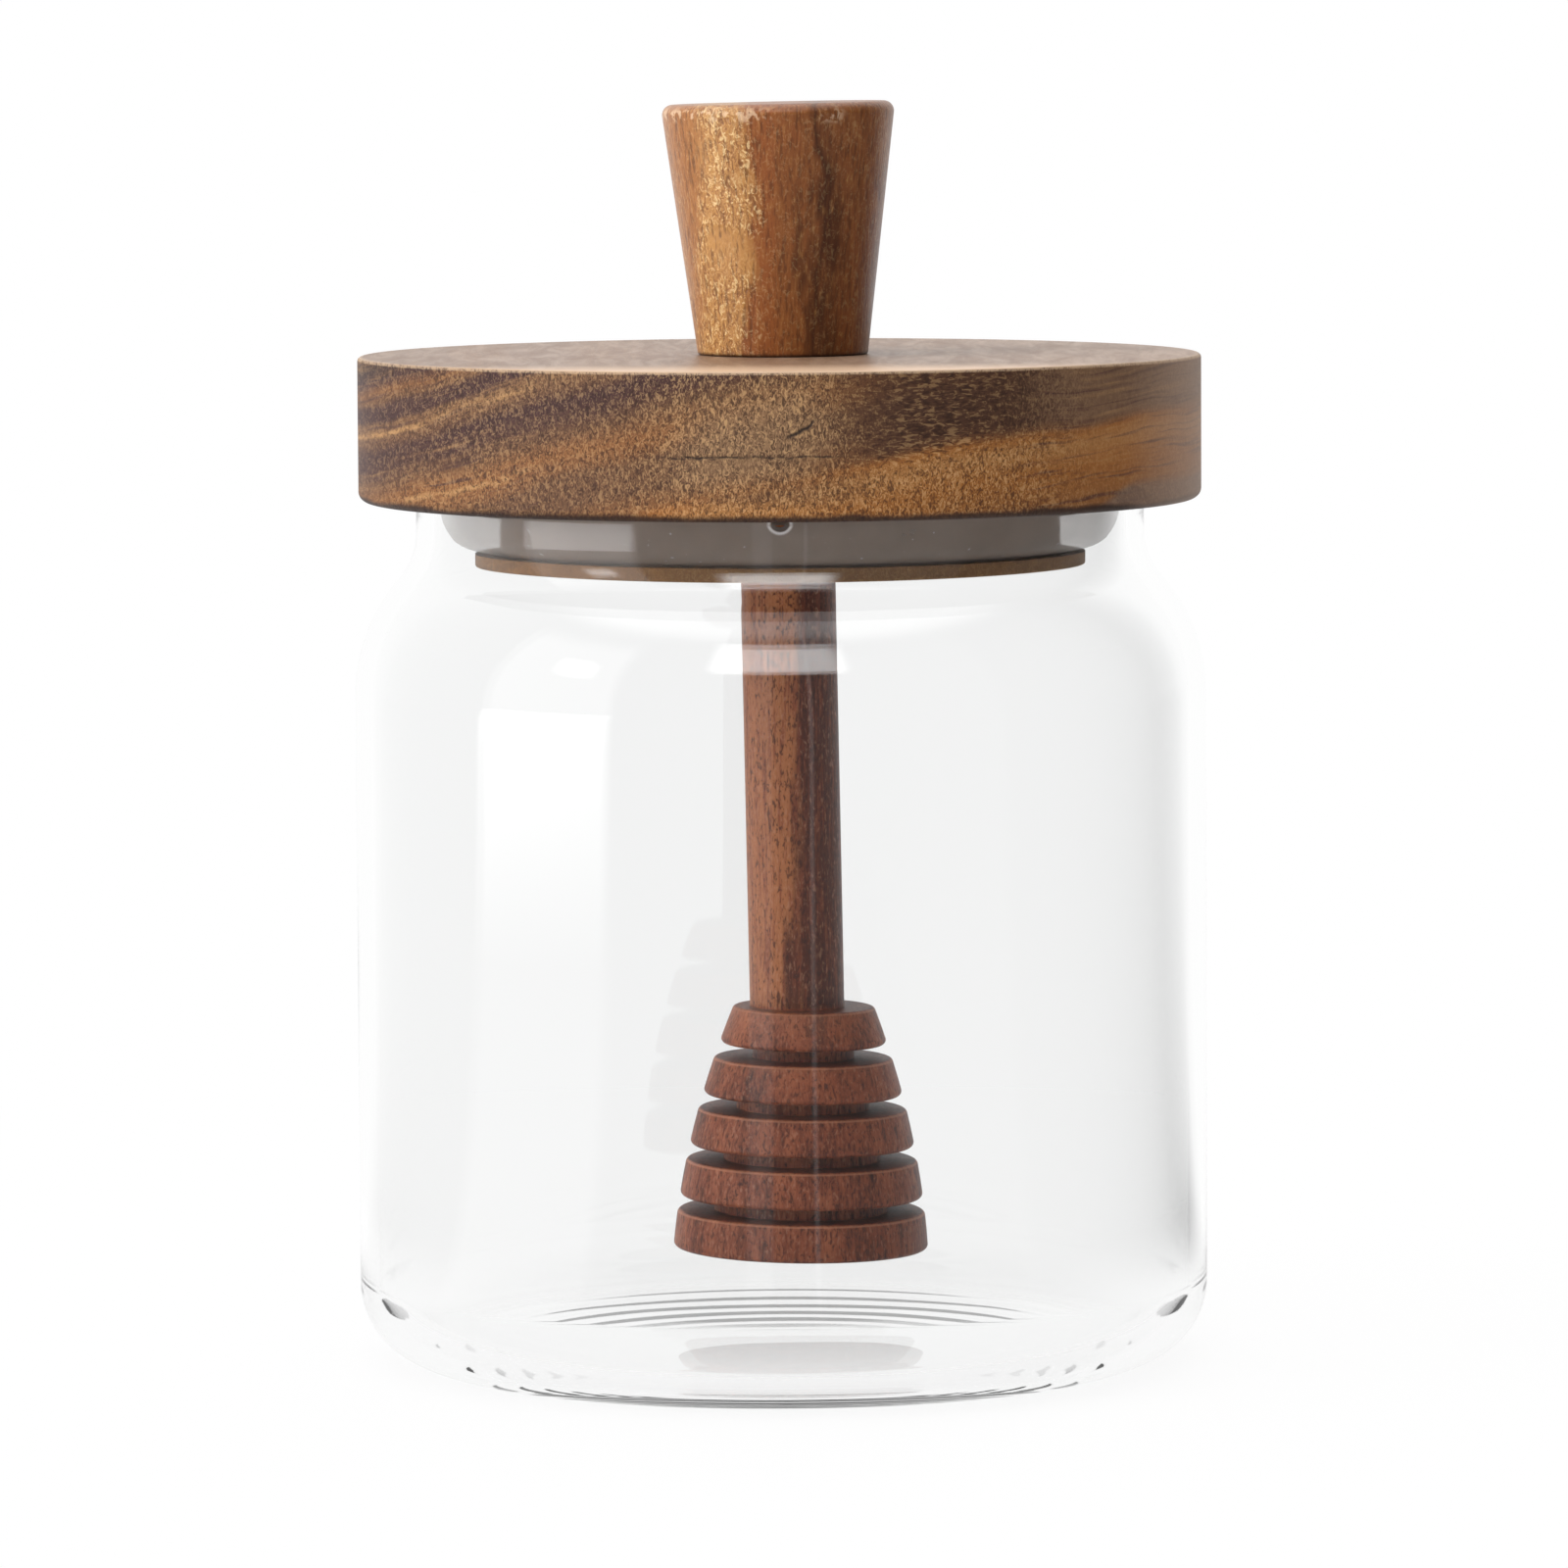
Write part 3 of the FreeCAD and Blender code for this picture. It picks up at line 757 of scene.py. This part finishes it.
class MakeKnob(bpy.types.Operator):
    """Turns the tapered knob and cuts its foot level with the lid."""
    bl_idname = "honey_pot.make_knob"
    bl_label = "Wooden knob"

    def execute(self, context):
        s = settings_of(context).knob
        base = LID_HIGH.z
        top = KNOB_TOP
        slope = (s.top_radius - s.base_radius) / (top - base)
        # the cone runs on under the lid's top, and is cut off there once it leans
        below = s.base_radius / 2
        corners = [
            (0, base - below, 0),
            (s.base_radius - slope * below, base - below, 0),
            (s.top_radius, top, s.top_round),
            (0, top, 0),
        ]
        bm = turned(corners)
        bmesh.ops.rotate(bm, verts=bm.verts[:], cent=(0, 0, top),
                         matrix=Matrix.Rotation(-s.lean, 3, "Y"))
        cut = bmesh.ops.bisect_plane(bm, geom=bm.verts[:] + bm.edges[:] + bm.faces[:],
                                     dist=SAME, plane_co=(0, 0, base), plane_no=(0, 0, 1),
                                     clear_inner=True)
        loop = [part for part in cut["geom_cut"] if isinstance(part, bmesh.types.BMEdge)]
        if not loop:
            raise RuntimeError("The knob doesn't reach down to the lid")
        bmesh.ops.contextual_create(bm, geom=loop)
        bmesh.ops.recalc_face_normals(bm, faces=bm.faces[:])
        rim = [edge for edge in bm.edges if all(abs(v.co.z - base) < SAME for v in edge.verts)]
        bmesh.ops.bevel(bm, geom=rim, offset=s.base_round, segments=3, profile=0.5,
                        affect="EDGES", material=-1)
        add_piece(bm, "knob_wood", "root", "knob", knob_material(s), SHARP)
        return {"FINISHED"}


class MakeDipper(bpy.types.Operator):
    """Turns the ringed head and the stick, and hangs them from the lid."""
    bl_idname = "honey_pot.make_dipper"
    bl_label = "Wooden dipper"

    def execute(self, context):
        pot = settings_of(context)
        s = pot.dipper
        lean = pot.knob.lean
        bottom = pot.jar.floor + s.floor_gap
        top = bottom + s.head_height

        def outline(height):
            share = (height - bottom) / s.head_height
            low = s.bottom_radius * (1 - share) * (1 - 2 * share)
            middle = s.middle_radius * 4 * share * (1 - share)
            return low + middle + s.top_radius * share * (2 * share - 1)

        ring = (s.head_height - (s.rings - 1) * s.groove) / s.rings
        corners = [(0, bottom, 0)]
        for index in range(s.rings):
            low = bottom + index * (ring + s.groove)
            high = low + ring
            corners.append((outline(low), low, s.ring_round))
            corners.append((outline((low + high) / 2), (low + high) / 2, 0))
            corners.append((outline(high), high, s.ring_round))
            if index < s.rings - 1:
                core = outline(high + s.groove / 2) - s.groove_cut
                corners.append((core, high, 0))
                corners.append((core, high + s.groove, 0))
        corners.append((0, top, 0))
        head = turned(corners)
        bmesh.ops.rotate(head, verts=head.verts[:], cent=(0, 0, top),
                         matrix=Matrix.Rotation(s.head_lean, 3, "Y"))
        offset = (KNOB_TOP - top) * math.tan(lean) + s.head_shift
        bmesh.ops.translate(head, verts=head.verts[:], vec=(offset, 0, 0))
        stick_low = top - ring / 2
        stick_top = LID_LOW.z + STICK_INTO_PLUG
        stick = turned([(0, stick_low, 0), (s.stick_radius, stick_low, 0),
                        (s.stick_radius, stick_top, 0), (0, stick_top, 0)])
        bmesh.ops.rotate(stick, verts=stick.verts[:], cent=(0, 0, KNOB_TOP),
                         matrix=Matrix.Rotation(-lean, 3, "Y"))
        stick_mesh = bpy.data.meshes.new("stick")
        stick.to_mesh(stick_mesh)
        stick.free()
        head.from_mesh(stick_mesh)
        bpy.data.meshes.remove(stick_mesh)
        add_piece(head, "dipper_wood", "root", "dipper", dipper_material(s), SHARP)
        return {"FINISHED"}


class MakeStudio(bpy.types.Operator):
    """Sets up the floor, the light and the camera."""
    bl_idname = "honey_pot.make_studio"
    bl_label = "Studio"

    def execute(self, context):
        scene = context.scene
        s = settings_of(context).studio
        scene.view_settings.view_transform = "Standard"
        scene.cycles.max_bounces = BOUNCES
        scene.cycles.glossy_bounces = GLOSSY_BOUNCES
        scene.cycles.transmission_bounces = BOUNCES
        self.make_world(scene, s)
        self.make_floor(scene, s)
        self.make_camera(scene, s)
        return {"FINISHED"}

    def make_world(self, scene, s):
        world = bpy.data.worlds.new("studio")
        world.use_nodes = True
        scene.world = world
        nodes = Nodes(world.node_tree)
        direction = nodes.add("TexCoord").outputs["Generated"]
        height = nodes.split(direction)["Z"]
        turn = round_the_room(nodes, direction)
        left = nodes.times(nodes.window(turn, *LEFT_TURN), nodes.window(height, *LEFT_RISE))
        front = nodes.times(nodes.window(turn, *FRONT_TURN), nodes.window(height, *FRONT_RISE))
        above = nodes.times(nodes.step(height, 0.74, 0.86), s.top_box)
        tone = room_tone(nodes, turn)
        through, gloss = first_look(nodes)
        plain = nodes.plus(nodes.times(left, s.left_box), nodes.times(front, s.front_box))
        plain = nodes.plus(nodes.plus(plain, nodes.times(tone, s.fill)), above)
        # glass shows the left box faintly, with a brighter core, and satin wood more strongly
        sharp = nodes.add("LightPath").outputs["Is Singular Ray"]
        core = nodes.times(nodes.window(turn, *CORE_TURN), nodes.window(height, *CORE_RISE))
        faint = nodes.plus(GLASS_LEFT, nodes.times(core, GLASS_CORE))
        gleam = nodes.mix_values(sharp, SATIN_LEFT, faint)
        shiny = nodes.plus(nodes.times(left, gleam), nodes.times(front, GLOSS_FRONT))
        shiny = nodes.plus(nodes.plus(shiny, tone), above)
        steep = nodes.step(nodes.math("ABSOLUTE", height), 0.45, 0.75)
        seen = nodes.between(steep, 0.0, 1.0, THROUGH_GLASS, STEEP_THROUGH_GLASS)
        # white is 1 where nothing is in front of it, and a little less through glass
        camera_only = nodes.add("LightPath").outputs["Is Camera Ray"]
        seen = nodes.mix_values(camera_only, seen, 1.0)
        strength = nodes.mix_values(gloss, plain, shiny)
        strength = nodes.mix_values(through, strength, seen)
        background = world.node_tree.nodes["Background"]
        background.inputs["Color"].default_value = (*s.white, 1.0)
        nodes.put(background, "Strength", strength)

    def make_floor(self, scene, s):
        bm = bmesh.new()
        bmesh.ops.create_grid(bm, x_segments=1, y_segments=1, size=FLOOR_HALF)
        mesh = bpy.data.meshes.new("floor")
        bm.to_mesh(mesh)
        bm.free()
        mesh.transform(Matrix.Translation((0, 0, -FLOOR_DROP)))
        floor = bpy.data.objects.new("floor", mesh)
        scene.collection.objects.link(floor)
        nodes = MaterialNodes("floor_paper")
        nodes.shader.inputs["Base Color"].default_value = (0.8, 0.8, 0.8, 1.0)
        nodes.shader.inputs["Roughness"].default_value = 0.9
        nodes.shader.inputs["Specular IOR Level"].default_value = 0.0
        turn = round_the_room(nodes, nodes.place)
        radius = nodes.size(nodes.place)
        # in a gloss, the left box lies on the far floor too
        far = nodes.between(radius, 0.5, 1.1, 0.3, 2.4)
        left = nodes.times(nodes.window(turn, *LEFT_TURN), far)
        tone = nodes.plus(room_tone(nodes, turn), left)
        through, gloss = first_look(nodes)
        # close to the foot the floor is white in a gloss too
        close = nodes.step(radius, 0.17, 0.09)
        through = nodes.most(through, nodes.times(gloss, close))
        gloss = nodes.minus(gloss, nodes.times(gloss, close))
        # and a little of its shadow shows
        bare = nodes.ramp(radius, [(0.046, 0.93), (0.058, 0.97), (0.26, 1.0)])
        camera_only = nodes.add("LightPath").outputs["Is Camera Ray"]
        bright = nodes.between(camera_only, 0.0, 1.0, THROUGH_GLASS, 1.0)
        glow = nodes.add("Emission", {"Color": (*s.white, 1.0), "Strength": bright})
        dim = nodes.add("Emission", {"Color": (*s.white, 1.0), "Strength": tone})
        seen = nodes.add("MixShader", {0: nodes.times(through, bare),
                                       1: nodes.shader.outputs[0], 2: glow.outputs[0]})
        mixed = nodes.add("MixShader", {0: gloss, 1: seen.outputs[0], 2: dim.outputs[0]})
        output = nodes.tree.nodes["Material Output"]
        nodes.put(output, "Surface", mixed.outputs[0])
        mesh.materials.append(nodes.material)

    def make_camera(self, scene, s):
        lens = bpy.data.cameras.new("camera")
        lens.lens = s.lens
        lens.sensor_width = 36.0
        lens.clip_start = 0.01
        lens.clip_end = 100.0
        camera = bpy.data.objects.new("camera", lens)
        scene.collection.objects.link(camera)
        turn = Matrix.Rotation(math.pi / 2 - s.pitch, 4, "X") @ Matrix.Rotation(s.roll, 4, "Z")
        camera.matrix_world = Matrix.Translation((s.aside, -s.distance, s.height)) @ turn
        scene.camera = camera


class PotPanel(bpy.types.Panel):
    """Lists the makers of the honey pot's pieces."""
    bl_idname = "VIEW3D_PT_honey_pot"
    bl_label = "Honey pot"
    bl_space_type = "VIEW_3D"
    bl_region_type = "UI"
    bl_category = "Honey pot"

    def draw(self, context):
        for maker in MAKERS:
            self.layout.operator(maker.bl_idname)


MAKERS = (MakeJar, MakeLid, MakeSeal, MakeKnob, MakeDipper, MakeStudio)
CLASSES = (JarSettings, LidSettings, SealSettings, KnobSettings, DipperSettings, StudioSettings,
           PotSettings, *MAKERS, PotPanel)


def register():
    for cls in CLASSES:
        bpy.utils.register_class(cls)
    bpy.types.Scene.honey_pot = PointerProperty(type=PotSettings)


def unregister():
    del bpy.types.Scene.honey_pot
    for cls in reversed(CLASSES):
        bpy.utils.unregister_class(cls)


def main():
    register()
    bpy.ops.honey_pot.make_jar()
    bpy.ops.honey_pot.make_lid()
    bpy.ops.honey_pot.make_seal()
    bpy.ops.honey_pot.make_knob()
    bpy.ops.honey_pot.make_dipper()
    bpy.ops.honey_pot.make_studio()


if __name__ == "__main__":
    main()
